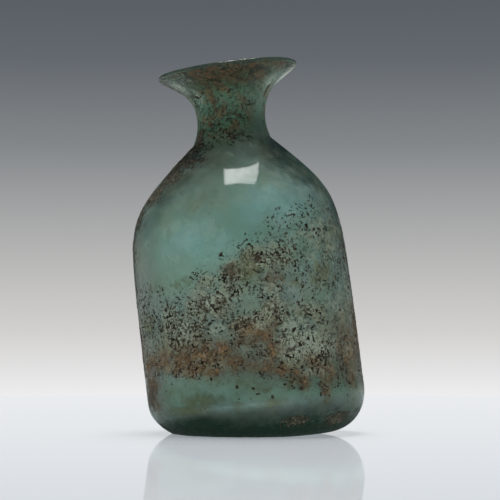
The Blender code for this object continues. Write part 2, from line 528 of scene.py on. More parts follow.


# %% [markdown]
# These marks are only colour. A milky skin lies over the body, thick and thin in places. A bluish glow is
# painted on it round and below the glint on the shoulder, painted light. Dark green shade is painted round
# the heel, over the top of the shoulder and down both sides, where thick or edge-on glass looks dark.
# Brown-green grime wraps the neck and the mouth, with rust in it, and is thin in a few places. A pale
# bloom shows on both sides of the mouth and among the pits, olive patches tint the body, and orange mud
# clings in a band above the heel.

# %% Stains
# Painted shade: each spot darkens the glass's colour and lays a nearly black green film, at the heel, over
# the top of the shoulder and down both edges.
PAINTED_SHADE = [
    (0, -1, 200, 6.5, 1.6), (0, 13, 200, 6, 0.2), (66, 75, 12, 3.5, 0.9), (58, 72, 14, 5, 1),
    (68, 67, 12, 6, 0.95), (48, 71, 12, 5, 0.6), (80, 60, 9, 8, 0.9), (92, 48, 9, 11, 1),
    (94, 30, 7, 12, 0.6), (92, 12, 9, 8, 0.6), (-55, 76, 10, 3, 0.4), (-62, 71, 12, 4, 0.5),
    (-74, 66, 10, 5, 0.5), (-90, 60, 10, 8, 0.9), (-94, 46, 10, 14, 1.1), (-94, 30, 7, 12, 0.8),
    (-92, 12, 9, 8, 0.6), (-25, 73.2, 8, 2, 0.55), (-37, 69, 6, 3, 0.5), (-48, 65.5, 6, 4, 0.5),
    (-56, 60, 5, 5, 0.2), (49, 71.5, 10, 3.2, 1.15), (51, 67, 7, 4, 0.8), (54, 61, 7, 5, 0.5),
    (38, 62, 7, 3.5, 0.3), (-34, 3.8, 13, 3.4, 1.4), (-48, 3.2, 8, 2.6, 0.35), (-16, 72.5, 7, 1.6, 0.4),
    (30, 74, 8, 1.6, 0.4), (150, 76, 40, 6, 0.75), (215, 74, 14, 6, 0.7),
]
# Painted glow: bluish light laid over the upper body, strongest round and below the glint on the shoulder.
PAINTED_GLOW = [
    (24, 60, 15, 6, 1.1), (-20, 52, 14, 8, 0.8), (26, 56, 10, 6, 0.5), (-3, 9.2, 16, 1, 0.5),
    (45, 57, 6, 5, 0.4), (-54, 57.6, 6, 5, 0.3), (170, 60, 20, 9, 0.8),
]
THIN_GRIME = [
    (-66, 95.3, 9, 2.4, 0.7), (60, 93.8, 9, 3.6, 0.75), (88, 95.6, 9, 3, 0.95), (48, 86, 12, 7, 0.65),
    (-52, 92, 6, 3, 0.6), (-46, 96.3, 5, 1.6, 0.4), (50, 96.8, 6, 1.6, 0.4), (140, 95, 9, 3, 0.6),
]
THIN_MILK = [
    (4, 43.7, 7, 5, 0.75), (4, 59, 9, 3, 0.5), (6, 53, 7, 4, 0.35), (-55, 42, 8, 6, 0.6),
    (-32, 42, 10, 5, 0.45), (-46, 3.4, 12, 3, 0.6), (-40, 9, 14, 4, 0.5), (3, 68.5, 10, 5, 0.4),
]
THICK_MILK = [
    (-3, 9.2, 15, 1.1, 3), (40, 18, 9, 6, 0.6), (-45, 18, 12, 6, 0.45), (30, 36, 9, 6, 0.3),
    (33, 26, 6, 3, 0.4), (-28, 56, 10, 6, 0.15), (3, 76, 8, 2, 0.3),
]
RUST = [
    (-4.5, 43.6, 3.4, 2.8, 0.75), (8, 46.4, 3.4, 2.2, 0.7), (-13, 35.4, 3.6, 3, 0.65),
    (-23, 36.3, 3, 3, 0.65), (15, 32.6, 2.6, 3, 0.6), (18, 40, 3, 2, 0.6), (0.5, 29.6, 4.6, 2, 0.7),
    (-30, 25.6, 8, 1.4, 0.6), (-26, 97, 7, 1.8, 1), (-14, 97.6, 6, 1.4, 0.8), (-27, 90, 5, 5, 0.85),
    (-40, 84.5, 6, 4, 0.75), (10, 97, 12, 1.6, 0.75), (50, 97.5, 8, 1.2, 0.8), (66, 92, 3, 4, 0.8),
    (-74, 76, 12, 7, 0.9), (-60, 81, 9, 3.4, 0.9), (-84, 67, 8, 7, 0.8), (14, 80.5, 5, 1.2, 0.7),
    (-12, 88, 4, 4, 0.5), (0, 95.5, 12, 1.5, 0.6), (-85, 26, 6, 10, 0.7), (-72, 14, 8, 8, 0.8),
    (80, 27, 9, 11, 0.6), (19.5, 4.3, 6, 1.8, 0.9), (49, 3.8, 7, 2.4, 0.9), (190, 95, 12, 3, 0.9),
    (130, 88, 8, 4, 0.7), (150, 20, 14, 5, 0.6),
]
BLOOM = [
    (-66, 95.5, 8, 2.6, 0.62), (58, 94, 8, 3.2, 0.62), (-50, 92, 5, 3, 0.7), (-47, 96.3, 6, 1.8, 0.5),
    (50, 96.8, 6, 1.6, 0.5), (-16, 29.5, 4, 3, 0.65), (24, 29, 5, 3, 0.6), (45, 22, 6, 5, 0.5),
    (62, 22, 5, 6, 0.45), (-36, 20, 8, 3, 0.35), (140, 96, 8, 2, 0.8), (25, 23, 8, 6, 0.8),
    (36, 22, 4, 4, 0.7), (-18, 36, 8, 5, 0.6), (-32, 30, 6, 4, 0.55), (0, 29.5, 6, 2.6, 0.8),
    (10, 45, 8, 5, 0.5), (15, 32, 5, 3, 0.6), (-78, 76, 5, 7, 0.45), (48, 3.6, 5, 1.2, 0.6),
    (160, 34, 14, 10, 0.6), (240, 34, 14, 10, 0.6), (14, 38, 4, 3, 0.75), (21, 27, 4, 3, 0.75),
    (33, 15.8, 7, 2, 0.7), (62, 19.6, 5, 3, 0.7),
]
OLIVE = [
    (-32, 42, 11, 5, 0.6), (3.5, 44, 7, 4, 0.85), (-29, 11.7, 10, 2.8, 1), (-40, 9.5, 10, 2.4, 0.9),
    (-57, 42, 6, 5, 0.6), (3.5, 47, 3.5, 4.5, 0.8), (46.5, 40.5, 8, 6, 0.85), (22, 38, 7, 3.5, 0.75),
    (16.5, 40.5, 5, 3.5, 0.7), (-18, 62, 12, 7, 0.5), (22, 30, 8, 4, 0.5), (8, 36, 9, 4, 0.5),
    (-62, 33, 10, 7, 0.7), (-45, 52, 12, 6, 0.4), (10, 13, 26, 3, 0.6), (0, 19, 10, 3, 0.6),
    (0, 9, 60, 2.4, 0.6), (-35, 40, 10, 5, 0.4), (70, 12, 12, 5, 0.5), (60, 52, 10, 8, 0.5),
    (-10, 15, 60, 4, 0.5), (160, 46, 12, 6, 0.6), (230, 24, 12, 5, 0.6), (180, 12, 40, 4, 0.6),
]
MUD = [
    (-60, 22.6, 7, 3, 0.9), (-50.5, 23.1, 6, 3.2, 0.9), (-36, 23.1, 7, 3.4, 1), (-24, 23.4, 6, 3.4, 1.05),
    (-15.5, 24, 4.5, 3.2, 1), (-19.5, 18.9, 4.5, 2, 0.85), (-30.5, 19.8, 6, 2.2, 0.9),
    (-42, 20.5, 6, 2.2, 0.8), (-8.5, 20.5, 4.2, 2.8, 0.95), (-1.5, 19.6, 4, 1.8, 0.8), (3, 19, 3, 1.6, 0.7),
    (10.5, 22.2, 3.2, 2.8, 1.05), (7.5, 18.7, 2.6, 2.4, 0.85), (1.5, 27.5, 4, 2.6, 0.9),
    (6.5, 26.6, 4, 2.8, 1), (-3, 25.5, 4, 1.8, 0.7), (-1, 29.8, 4, 1.8, 0.75), (14, 29, 1.4, 3, 0.6),
    (33, 18.5, 4, 2.5, 0.8), (14.5, 17, 2.8, 2.6, 0.95), (22, 15.5, 3, 2.2, 0.8),
    (26.5, 13.6, 2.4, 2.8, 0.95), (43, 14.3, 3.4, 3, 0.85), (38.5, 10.8, 1.8, 3, 0.85),
    (38, 16.5, 4, 2.4, 0.8), (61, 20, 7, 8, 0.8), (61, 12.5, 4, 4, 0.7), (-66.5, 17, 5, 4, 0.8),
    (-69.5, 22, 7, 5, 0.8), (-63, 11.7, 4, 4, 0.65), (16.5, 40.5, 2.6, 2, 0.85), (-85, 24, 8, 6, 0.7),
    (85, 24, 8, 9, 0.8), (110, 19, 10, 4, 0.9), (145, 23, 10, 4, 0.9), (180, 20, 9, 5, 1),
    (215, 25, 10, 4, 0.9), (245, 20, 8, 4, 0.9),
]
# painted_shade and painted_glow are painted light, kept with the stains because they are laid the same way.
STAINS = {"painted_shade": PAINTED_SHADE, "painted_glow": PAINTED_GLOW, "rust": RUST, "bloom": BLOOM, "olive": OLIVE, "mud": MUD}
print("stained places:", sum(len(spots) for spots in STAINS.values()))

# %% [markdown]
# ## The glass
#
# The real bottle is one wall of glass, so this one is too: the line runs up the inside, over
# the lip and down the outside, and one spin closes it. Light then bends at both faces, as it does in
# a real wall. Each vertex remembers whether it is inside and how it is marked, for the material.

# %% Blow the glass
TURN_STEPS = 240
WELD = 1e-6
PITS_END = (72, 78)  # heights, in mm, over which each mark comes or goes
RIM_STARTS = (97.9, 98.4)
MILK_STARTS = (12, 36)
MILK_ENDS = (79, 84)
GRIME_STARTS = (77, 83)
MOUTH_STARTS = (90, 96)


def spun(line):
    """A line of (radius, height, inside, lowest) points turned once round Z."""
    built = bmesh.new()
    inside_layer = built.verts.layers.float.new("inside")
    lowest_layer = built.verts.layers.float.new("lowest")
    last = None
    for radius, rise, inside, lowest in line:
        vertex = built.verts.new((radius, 0, rise))
        vertex[inside_layer] = inside
        vertex[lowest_layer] = lowest
        if last:
            built.edges.new((last, vertex))
        last = vertex
    bmesh.ops.spin(
        built, geom=built.verts[:] + built.edges[:], axis=(0, 0, 1), cent=(0, 0, 0),
        angle=math.tau, steps=TURN_STEPS, use_merge=True,
    )
    bmesh.ops.remove_doubles(built, verts=built.verts, dist=WELD)
    bmesh.ops.recalc_face_normals(built, faces=built.faces)
    return built


def mark(built):
    """Writes the map of the weathering, with the painted shade and glow, onto the vertices of an upright
    bmesh.
    """
    turns, rises = places_of([vertex.co for vertex in built.verts])
    marks = {kind: spot_strength(spots, turns, rises) for kind, spots in STAINS.items()}
    marks["pits"] = pit_density(turns, rises) * (1 - eased(rises, *PITS_END))
    marks["rim"] = eased(rises, *RIM_STARTS)
    marks["milk"] = (0.35 + 0.65 * eased(rises, *MILK_STARTS)) * (1 - 0.8 * eased(rises, *MILK_ENDS))
    marks["milk"] *= 1 + spot_strength(THICK_MILK, turns, rises) - spot_strength(THIN_MILK, turns, rises)
    marks["mouth"] = eased(rises, *MOUTH_STARTS)
    marks["grime"] = eased(rises, *GRIME_STARTS) * (0.8 + 0.2 * marks["mouth"])
    marks["grime"] *= 1 - spot_strength(THIN_GRIME, turns, rises)
    for kind, strengths in marks.items():
        layer = built.verts.layers.float.new(kind)
        for vertex, strength in zip(built.verts, strengths):
            vertex[layer] = strength


wall_line = [(point.x, point.y, 1.0, BASE_WALL) for point in inner_line]
wall_line += [(point.x, point.y, 0.0, 0.0) for point in lip_line]
wall_line += [(point.x, point.y, 0.0, 0.0) for point in reversed(outer_line)]
glass_mesh = spun(wall_line)
mark(glass_mesh)
settle(glass_mesh)


def finish_piece(built, name, material):
    """The bmesh as an object at the origin that rides with the bottle."""
    mesh = bpy.data.meshes.new(name)
    built.to_mesh(mesh)
    built.free()
    mesh.shade_smooth()
    mesh.materials.append(material)
    piece = placed(name, mesh)
    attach(piece, "root")
    print(name, "triangles:", sum(len(face.vertices) - 2 for face in mesh.polygons))
    return piece


# %% [markdown]
# ## Patterns that several materials share
#
# Three clouds are three unlike noises read from one noise texture. Blotches compare such a cloud with
# the strength of a mark at each place, so that a soft spot becomes a ragged patch. Squiggles are the
# worm-like lines of corroded glass: they run where a noise crosses its middle value, and a second
# noise breaks the lines up. All are node groups, so that glass, film and soil can share them.

# %% Shared node groups
def node_group(name, inputs, outputs):
    """An empty group with float sockets, its input node's sockets and its output node."""
    group = bpy.data.node_groups.new(name, "ShaderNodeTree")
    for socket, value in inputs.items():
        made = group.interface.new_socket(socket, in_out="INPUT", socket_type="NodeSocketFloat")
        made.default_value = value
    for socket in outputs:
        group.interface.new_socket(socket, in_out="OUTPUT", socket_type="NodeSocketFloat")
    return group, add(group, "NodeGroupInput").outputs, add(group, "NodeGroupOutput")


def noise_node(tree, size, detail, roughness=0.6, distortion=0.0):
    """A noise in Object coordinates whose lumps are about this size."""
    point = add(tree, "ShaderNodeTexCoord").outputs["Object"]
    return add(tree, "ShaderNodeTexNoise", {
        "Vector": point, "Scale": math_node(tree, "DIVIDE", 1.0, size), "Detail": detail,
        "Roughness": roughness, "Distortion": distortion,
    })


clouds, given, made = node_group("three_clouds", {"Size": 0.003, "Detail": 3.0}, ["A", "B", "C"])
noisy = noise_node(clouds, given["Size"], given["Detail"])
split = add(clouds, "ShaderNodeSeparateColor", {0: noisy.outputs["Color"]})
for letter, channel in zip("ABC", ("Red", "Green", "Blue")):
    fill(made, {letter: split.outputs[channel]})

blotches, given, made = node_group("blotches", {"Cloud": 0.5, "Strength": 0.5, "Edge": 0.06}, ["Mask"])
level = math_node(blotches, "SUBTRACT", 0.82, times(blotches, given["Strength"], 0.72))
above = math_node(blotches, "SUBTRACT", given["Cloud"], level)
fill(made, {"Mask": remap(blotches, above, 0.0, given["Edge"])})

squiggles, given, made = node_group("squiggles", {"Density": 0.5, "Size": 0.001, "Gaps": 0.5}, ["Mask"])
wander = noise_node(squiggles, given["Size"], 1.5, 0.5, 0.6).outputs["Fac"]
off_line = math_node(squiggles, "ABSOLUTE", math_node(squiggles, "SUBTRACT", wander, 0.5))
width = times(squiggles, given["Density"], 0.09)
on_line = math_node(squiggles, "GREATER_THAN", width, off_line)
kept = math_node(squiggles, "ADD", given["Gaps"], times(squiggles, given["Density"], 0.10))
unbroken = math_node(squiggles, "GREATER_THAN", kept, 0.54)
fill(made, {"Mask": times(squiggles, on_line, unbroken)})


def use(tree, group, **inputs):
    """This group placed in a material, and its outputs."""
    return add(tree, "ShaderNodeGroup", inputs, node_tree=group).outputs


def mark_of(tree, name):
    """One mark of the weathering map, as a socket."""
    return add(tree, "ShaderNodeAttribute", attribute_name=name).outputs["Fac"]


def relief(tree, strength, depth, height):
    """A normal from heights between 0 and 1."""
    inputs = {"Strength": strength, "Distance": depth, "Height": height}
    return add(tree, "ShaderNodeBump", inputs).outputs["Normal"]


print("shared groups:", [group.name for group in bpy.data.node_groups])

# %% [markdown]
# ## Weathered glass
#
# Ancient glass is clear blue-green where it is sound. Its depth is a plain Volume Absorption, so the
# thick heel and the edges come out darker by themselves, and the painted shade darkens them further
# through the glass's colour. Burial dulls it: the inside is matt all over, and the outside turns matt
# where it is pitted or lies under the painted shade. The fire-polished rim stays glossy.

# %% Glass material
CLEAN = (0.74, 0.95, 0.87, 1)
MURKY = (0.63, 0.80, 0.62, 1)
PITTED = (0.60, 0.68, 0.58, 1)
SHADED = (0.28, 0.46, 0.34, 1)
SOUND_ROUGHNESS = 0.05
DULL_ROUGHNESS = 0.4
INSIDE_ROUGHNESS = 0.3
DEPTH_TINT = (0.05, 0.60, 0.46, 1)
DEPTH_DENSITY = 200.0

glass, tree, shader = new_material("weathered_glass")
inside = mark_of(tree, "inside")
pits = mark_of(tree, "pits")
wide = use(tree, clouds, Size=0.008)
fine = use(tree, clouds, Size=0.0012)
colour = mix(tree, remap(tree, wide["A"], 0.36, 0.64), CLEAN, MURKY)
pitted = remap(tree, math_node(tree, "ADD", pits, wide["B"]), 0.62, 1.10)
colour = mix(tree, pitted, colour, PITTED)
# Painted shade: the glass's colour turns to the dark SHADED green where the painted_shade mark lies.
shaded = remap(tree, math_node(tree, "ADD", mark_of(tree, "painted_shade"), wide["C"]), 0.75, 1.25)
colour = mix(tree, shaded, colour, SHADED)
worn = math_node(tree, "MAXIMUM", pitted, shaded)
unpolished = math_node(tree, "SUBTRACT", 1.0, mark_of(tree, "rim"))
dull = remap(tree, times(tree, worn, unpolished), 0.0, 1.0, SOUND_ROUGHNESS, DULL_ROUGHNESS)
roughness = mix(tree, inside, dull, INSIDE_ROUGHNESS, kind="FLOAT")
uneven_face = times(tree, fine["A"], times(tree, pits, unpolished))
fill(shader, {
    "Base Color": colour, "Roughness": roughness, "IOR": 1.5, "Transmission Weight": 0.9,
    "Normal": relief(tree, 0.35, 0.0002, uneven_face),
})
depth = add(tree, "ShaderNodeVolumeAbsorption", {"Color": DEPTH_TINT, "Density": DEPTH_DENSITY})
fill(tree.nodes["Material Output"], {"Volume": depth.outputs["Volume"]})

bottle = finish_piece(glass_mesh, "bottle_glass", glass)
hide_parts("bottle")

# %% [markdown]
# ## The film that burial left
#
# Buried glass is covered by a thin film of its own decay and of soil: milky, olive, rusty or nearly
# black. It could be mixed into the glass's colour, but a tint only takes light away, and a milky film
# adds some. So the film is a skin of its own, a few hundredths of a millimetre off the glass on both
# faces, made by the same spin. Its Alpha says how much of it there is at each place. The film also
# carries painted light: a dark green painted shade and a bluish painted glow.

# %% Film mesh
FILM_GAP = 0.00003
FILM_LOWEST = -0.00002  # under the base, between the glass and the table

skin_line = []
for point, normal, wall in zip(outer_line, outward_normals, walls):
    within = wall + FILM_GAP
    skin_line.append((point.x - normal.x * within, point.y - normal.y * within, 1.0, BASE_WALL + FILM_GAP))
for point in lip_line:
    round_lip = lip_centre + (point - lip_centre) * (1 + 2 * FILM_GAP / LIP_WALL)
    skin_line.append((round_lip.x, round_lip.y, 0.0, 0.0))
for point, normal in reversed(list(zip(outer_line, outward_normals))):
    skin_line.append((point.x + normal.x * FILM_GAP, point.y + normal.y * FILM_GAP, 0.0, FILM_LOWEST))
film_mesh = spun(skin_line)
mark(film_mesh)
settle(film_mesh)
print("points on the film's line:", len(skin_line))

# %% [markdown]
# The film's material lays one deposit over another, as the ground did, and lays the painted glow and
# the painted shade over them in the same way. Each has a tint and a cover, and the film keeps one colour
# and one Alpha for them all.

# %% Tints of the deposits, and of the painted glow and painted shade
MILK = (0.47, 0.64, 0.57, 1)
MILK_OLIVE = (0.50, 0.56, 0.40, 1)
# Painted glow: the bluish colour of light painted round the glint on the shoulder.
GLOW_TINT = (0.42, 0.88, 0.90, 1)
SAGE = (0.47, 0.48, 0.30, 1)
CREAM = (0.60, 0.70, 0.53, 1)
UMBER = (0.12, 0.085, 0.055, 1)
OLIVE_TINT = (0.175, 0.185, 0.068, 1)
OCHRE = (0.30, 0.198, 0.095, 1)
BURNT_OCHRE = (0.18, 0.110, 0.055, 1)
RUST_TINT = (0.145, 0.083, 0.044, 1)
RUST_DARK = (0.055, 0.036, 0.020, 1)
NECK_GREEN = (0.095, 0.205, 0.120, 1)
NECK_BROWN = (0.175, 0.150, 0.074, 1)
MOUTH_GREEN = (0.060, 0.078, 0.037, 1)
MOUTH_BROWN = (0.10, 0.064, 0.028, 1)
GRIME_DARK = (0.022, 0.024, 0.014, 1)
# Painted shade: the dark green colours of shade painted at the heel (low) and on the shoulder and edges
# (high).
SHADE_TINT_LOW = (0.012, 0.040, 0.022, 1)
SHADE_TINT_HIGH = (0.0058, 0.0333, 0.0275, 1)
PIT_TINT = (0.040, 0.034, 0.020, 1)

# %% Clouds of the film, and how a deposit is laid
film, tree, shader = new_material("burial_film")
outside = math_node(tree, "SUBTRACT", 1.0, mark_of(tree, "inside"))
pits = mark_of(tree, "pits")
in_mouth = mark_of(tree, "mouth")
wide = use(tree, clouds, Size=0.01, Detail=4.0)
patchy = use(tree, clouds, Size=0.0028, Detail=4.0)
fine = use(tree, clouds, Size=0.0008, Detail=2.0)


def lay(under, tint, cover):
    """A further layer over a film, whether deposit or painted light, given as (colour, alpha)."""
    colour, alpha = under
    bare = math_node(tree, "SUBTRACT", 1.0, alpha)
    whole = math_node(tree, "ADD", alpha, times(tree, cover, bare))
    share = math_node(tree, "DIVIDE", cover, math_node(tree, "MAXIMUM", whole, 0.001))
    return mix(tree, share, colour, tint), whole


def patch(kind, cloud, edge, most, boost=1.0):
    """How much of a deposit there is: ragged patches of one mark."""
    strength = times(tree, mark_of(tree, kind), boost)
    mask = use(tree, blotches, Cloud=cloud, Strength=strength, Edge=edge)["Mask"]
    return times(tree, mask, most)


def layer(kind, cloud, most):
    """How much of a layer there is, deposit or painted light: one mark as an even layer that a cloud makes
    thicker and thinner.
    """
    thick = times(tree, mark_of(tree, kind), remap(tree, cloud, 0.36, 0.64, 0.78, 1.2))
    return times(tree, math_node(tree, "MINIMUM", thick, 1.0), most)


# %% [markdown]
# The body comes first: milk and a bluish painted glow over sound glass, then sage, cream and umber
# where it is pitted, and olive and ochre patches.

# %% Deposits and painted glow on the body
milk_tint = mix(tree, remap(tree, wide["B"], 0.34, 0.66), MILK, MILK_OLIVE)
milk = times(tree, remap(tree, wide["A"], 0.34, 0.66, 0.19, 0.35), outside)
milk = times(tree, milk, mark_of(tree, "milk"))
mottle = remap(tree, patchy["A"], 0.35, 0.65, 0.75, 1.2)
skin = (milk_tint, times(tree, milk, mottle))
# Painted glow: bluish light laid round and below the glint on the shoulder.
skin = lay(skin, GLOW_TINT, times(tree, layer("painted_glow", wide["C"], 0.25), outside))
skin = lay(skin, SAGE, times(tree, patch("pits", patchy["A"], 0.30, 0.32, 1.3), outside))
skin = lay(skin, CREAM, patch("bloom", fine["A"], 0.10, 0.42))
skin = lay(skin, CREAM, times(tree, patch("pits", fine["A"], 0.10, 0.34, 0.48), outside))
skin = lay(skin, UMBER, patch("pits", patchy["B"], 0.22, 0.45, 0.62))
skin = lay(skin, OLIVE_TINT, patch("olive", patchy["C"], 0.30, 0.5))
ochre_tint = mix(tree, remap(tree, fine["B"], 0.38, 0.62), BURNT_OCHRE, OCHRE)
torn = remap(tree, patchy["C"], 0.38, 0.58, 0.35, 1.0)
skin = lay(skin, ochre_tint, times(tree, layer("mud", fine["A"], 0.9), torn))

# %% [markdown]
# Then come the neck and the mouth. Their grime is green on the neck and brown in the mouth, with dark
# spots, and rust and the painted shade lie over it. The painted shade also darkens the heel and the
# edges of the body.

# %% Grime, rust and painted shade
brown = math_node(tree, "ADD", patchy["B"], times(tree, in_mouth, 0.03))
brown = remap(tree, brown, 0.50, 0.60)
neck_tint = mix(tree, brown, NECK_GREEN, NECK_BROWN)
mouth_tint = mix(tree, brown, MOUTH_GREEN, MOUTH_BROWN)
grime_tint = mix(tree, in_mouth, neck_tint, mouth_tint)
dark_share = times(tree, in_mouth, remap(tree, patchy["C"], 0.45, 0.56))
dark_share = math_node(tree, "MAXIMUM", dark_share, remap(tree, fine["C"], 0.52, 0.64))
grime_tint = mix(tree, dark_share, grime_tint, GRIME_DARK)
skin = lay(skin, grime_tint, layer("grime", fine["B"], 0.88))
rust_tint = mix(tree, remap(tree, fine["B"], 0.44, 0.60), RUST_DARK, RUST_TINT)
skin = lay(skin, rust_tint, patch("rust", patchy["A"], 0.22, 0.72))
# Painted shade: a nearly black green film, greener low down, at the heel, over the shoulder and down both
# edges.
place = add(tree, "ShaderNodeTexCoord").outputs["Object"]
low = remap(tree, add(tree, "ShaderNodeSeparateXYZ", {0: place}).outputs["Z"], 0.015, 0.045)
shade_tint = mix(tree, low, SHADE_TINT_LOW, SHADE_TINT_HIGH)
skin = lay(skin, shade_tint, layer("painted_shade", patchy["B"], 0.86))

# %% [markdown]
# Fine dark specks come last, on the pits and in the grime. The polished rim keeps little of the film.

# %% Specks, and the film's surface
crowded = times(tree, pits, remap(tree, patchy["B"], 0.38, 0.60, 0.5, 1.3))
crowded = math_node(tree, "MAXIMUM", crowded, times(tree, mark_of(tree, "grime"), 0.40))
specks = use(tree, squiggles, Density=crowded, Size=0.0009, Gaps=fine["C"])["Mask"]
seen = math_node(tree, "MAXIMUM", outside, in_mouth)
skin = lay(skin, PIT_TINT, times(tree, specks, times(tree, seen, 0.85)))
bared = math_node(tree, "SUBTRACT", 1.0, times(tree, mark_of(tree, "rim"), 0.65))
fill(shader, {
    "Base Color": skin[0], "Alpha": times(tree, skin[1], bared), "Specular IOR Level": 0.12,
    "Roughness": remap(tree, fine["B"], 0.3, 0.7, 0.45, 0.75),
    "Normal": relief(tree, 0.3, 0.0001, fine["C"]),
})
finish_piece(film_mesh, "burial_film", film)

# %% [markdown]
# ## Soil and crust as thin sheets
#
# Soil in the pits, crust on the shoulder and dried mud on both faces all lie on the wall, have ragged
# outlines and a little thickness. They could be thousands of separate crumbs. A sheet is closer
# to how a deposit forms: a fine flat grid is laid out, its faces outside the ragged mask are cut away,
# what is left is given thickness, and then it is wrapped round the upright bottle.

# %% Wrap a flat sheet round the wall
SHEET_CLEARANCE = 1.5 * FILM_GAP  # puts a sheet's top face outside the film
FAINTEST_MARK = 0.04

heel_start = STRETCHES[0][1] + STRETCHES[1][1]
WALL_LINES = {"outside": outer_line[heel_start:], "inside": inner_line[heel_start:]}
wall_normals = outward_normals[heel_start:]


def wall_at(side_name, rise):
    """The radius of the wall's outer or inner face at this height, and the way off it."""
    line = WALL_LINES[side_name]
    index = min(max(bisect_right(line, rise, key=lambda point: point.y) - 1, 0), len(line) - 2)
    below, above = line[index], line[index + 1]
    share = min(1.0, max(0.0, (rise - below.y) / (above.y - below.y)))
    radius = blend(below.x, above.x, share)
    normal = wall_normals[index].lerp(wall_normals[index + 1], share).normalized()
    return radius, normal if side_name == "outside" else -normal


def wrapped(side_name, flat):
    """Where a point of a flat sheet comes to lie: x runs round the body, y up and z off the wall."""
    radius, normal = wall_at(side_name, flat.y)
    turn = flat.x / BODY_RADIUS
    radius += normal.x * flat.z
    return Vector((radius * math.sin(turn), -radius * math.cos(turn), flat.y + normal.y * flat.z))


def sheet_piece(name, material, side_name, turns, rises, cell, strength_of, cover, lift, sink, rounding=2):
    """A deposit on the wall between these degrees and heights (mm), made of square cells.

    strength_of(turns, rises) says how strongly each place is marked. Where it is marked at all,
    cover(strength, point) is above 0 if there is some there, and up to 1 where it is thickest.
    lift and sink are how far it stands off the wall and reaches into it, and rounding is how
    often its outline is smoothed.
    """
    width = math.radians(turns[1] - turns[0]) * BODY_RADIUS
    tall = (rises[1] - rises[0]) * MM
    columns, rows = round(width / cell), round(tall / cell)
    built = bmesh.new()
    thick_layer = built.verts.layers.float.new("thick")
    inside_layer = built.verts.layers.float.new("inside")
    lowest_layer = built.verts.layers.float.new("lowest")
    bmesh.ops.create_grid(built, x_segments=columns, y_segments=rows, size=0.5)
    middle = Vector((math.radians(turns[0] + turns[1]) / 2 * BODY_RADIUS, (rises[0] + rises[1]) / 2 * MM, 0))
    bmesh.ops.scale(built, vec=(width, tall, 1), verts=built.verts)
    bmesh.ops.translate(built, vec=middle, verts=built.verts)
    flat = np.array([vertex.co for vertex in built.verts], dtype=float)
    strengths = strength_of(np.degrees(flat[:, 0] / BODY_RADIUS), flat[:, 1] / MM)
    for vertex, strength in zip(built.verts, strengths):
        if strength > FAINTEST_MARK:
            vertex[thick_layer] = cover(strength, wrapped(side_name, vertex.co))
    bare = [face for face in built.faces if sum(vertex[thick_layer] for vertex in face.verts) <= 0]
    bmesh.ops.delete(built, geom=bare, context="FACES")
    loose = [vertex for vertex in built.verts if not vertex.link_faces]
    bmesh.ops.delete(built, geom=loose, context="VERTS")
    for _ in range(rounding):
        edge = [vertex for vertex in built.verts if vertex.is_boundary]
        bmesh.ops.smooth_vert(built, verts=edge, factor=0.5, use_axis_x=True, use_axis_y=True)
    bottom = built.verts[:]
    made = bmesh.ops.extrude_face_region(built, geom=built.faces[:])["geom"]
    top = [item for item in made if isinstance(item, bmesh.types.BMVert)]
    for vertex in top:
        vertex.co.z = SHEET_CLEARANCE + lift * max(0.0, min(1.0, vertex[thick_layer]))
    for vertex in bottom:
        vertex.co.z = -sink
    bmesh.ops.recalc_face_normals(built, faces=built.faces)
    is_inside = side_name == "inside"
    for vertex in built.verts:
        vertex.co = wrapped(side_name, vertex.co)
        vertex[inside_layer] = float(is_inside)
        vertex[lowest_layer] = BASE_WALL if is_inside else 0.0
    settle(built)
    return finish_piece(built, name, material)


# %% [markdown]
# ## Soil
#
# The soil in the pits is nearly black, the mud is ochre and orange, and the crust on the
# shoulder is grey-brown. All are matt and grainy, so one recipe with several sets of colours does.

# %% Soil materials
def soil_material(name, dark, light, fleck, lump, faintest, thinnest):
    """A matt, grainy earth with lighter lumps and a few pale flecks.

    faintest and thinnest are its Alpha in faint patches and where it is thin.
    """
    made, tree, shader = new_material(name)
    lumps = use(tree, clouds, Size=lump, Detail=4.0)
    grain = use(tree, clouds, Size=lump * 0.35, Detail=3.0)
    colour = mix(tree, remap(tree, lumps["A"], 0.38, 0.62), dark, light)
    flecks = use(tree, blotches, Cloud=grain["A"], Strength=0.36, Edge=0.05)["Mask"]
    faint = remap(tree, lumps["C"], 0.40, 0.58, faintest, 1.0)
    thin = remap(tree, mark_of(tree, "thick"), 0.0, 0.5, thinnest, 1.0)
    fill(shader, {
        "Base Color": mix(tree, flecks, colour, fleck), "Alpha": times(tree, faint, thin),
        "Roughness": remap(tree, lumps["B"], 0.3, 0.7, 0.75, 0.95), "Specular IOR Level": 0.2,
        "Normal": relief(tree, 0.6, 0.0002, grain["B"]),
    })
    return made


pit_soil = soil_material(
    "pit_soil", dark=(0.013, 0.010, 0.006, 1), light=(0.040, 0.028, 0.017, 1),
    fleck=(0.09, 0.07, 0.045, 1), lump=0.003, faintest=0.95, thinnest=1.0,
)
ochre_mud = soil_material(
    "ochre_mud", dark=(0.14, 0.092, 0.048, 1), light=(0.29, 0.195, 0.092, 1),
    fleck=(0.38, 0.30, 0.19, 1), lump=0.0018, faintest=0.45, thinnest=0.0,
)
dark_crust = soil_material(
    "dark_crust", dark=(0.030, 0.029, 0.018, 1), light=(0.088, 0.078, 0.046, 1),
    fleck=(0.36, 0.35, 0.27, 1), lump=0.001, faintest=0.8, thinnest=0.2,
)
print("soils:", pit_soil.name, ochre_mud.name, dark_crust.name)

# %% [markdown]
# Pits are short, crooked strokes and dots of black soil, thickest in clusters. They could be drawn one
# by one. Here they follow the lines where a noise crosses zero, broken up by a second noise, and a
# third, wide one gathers them into clusters and leaves bare glass between. noise_vector is the one
# noise here that starts from the time of day, so it gets a seed, and every run makes the same pits. The
# front and the back are two sheets: the back's cells are coarser, which keeps the mesh light.

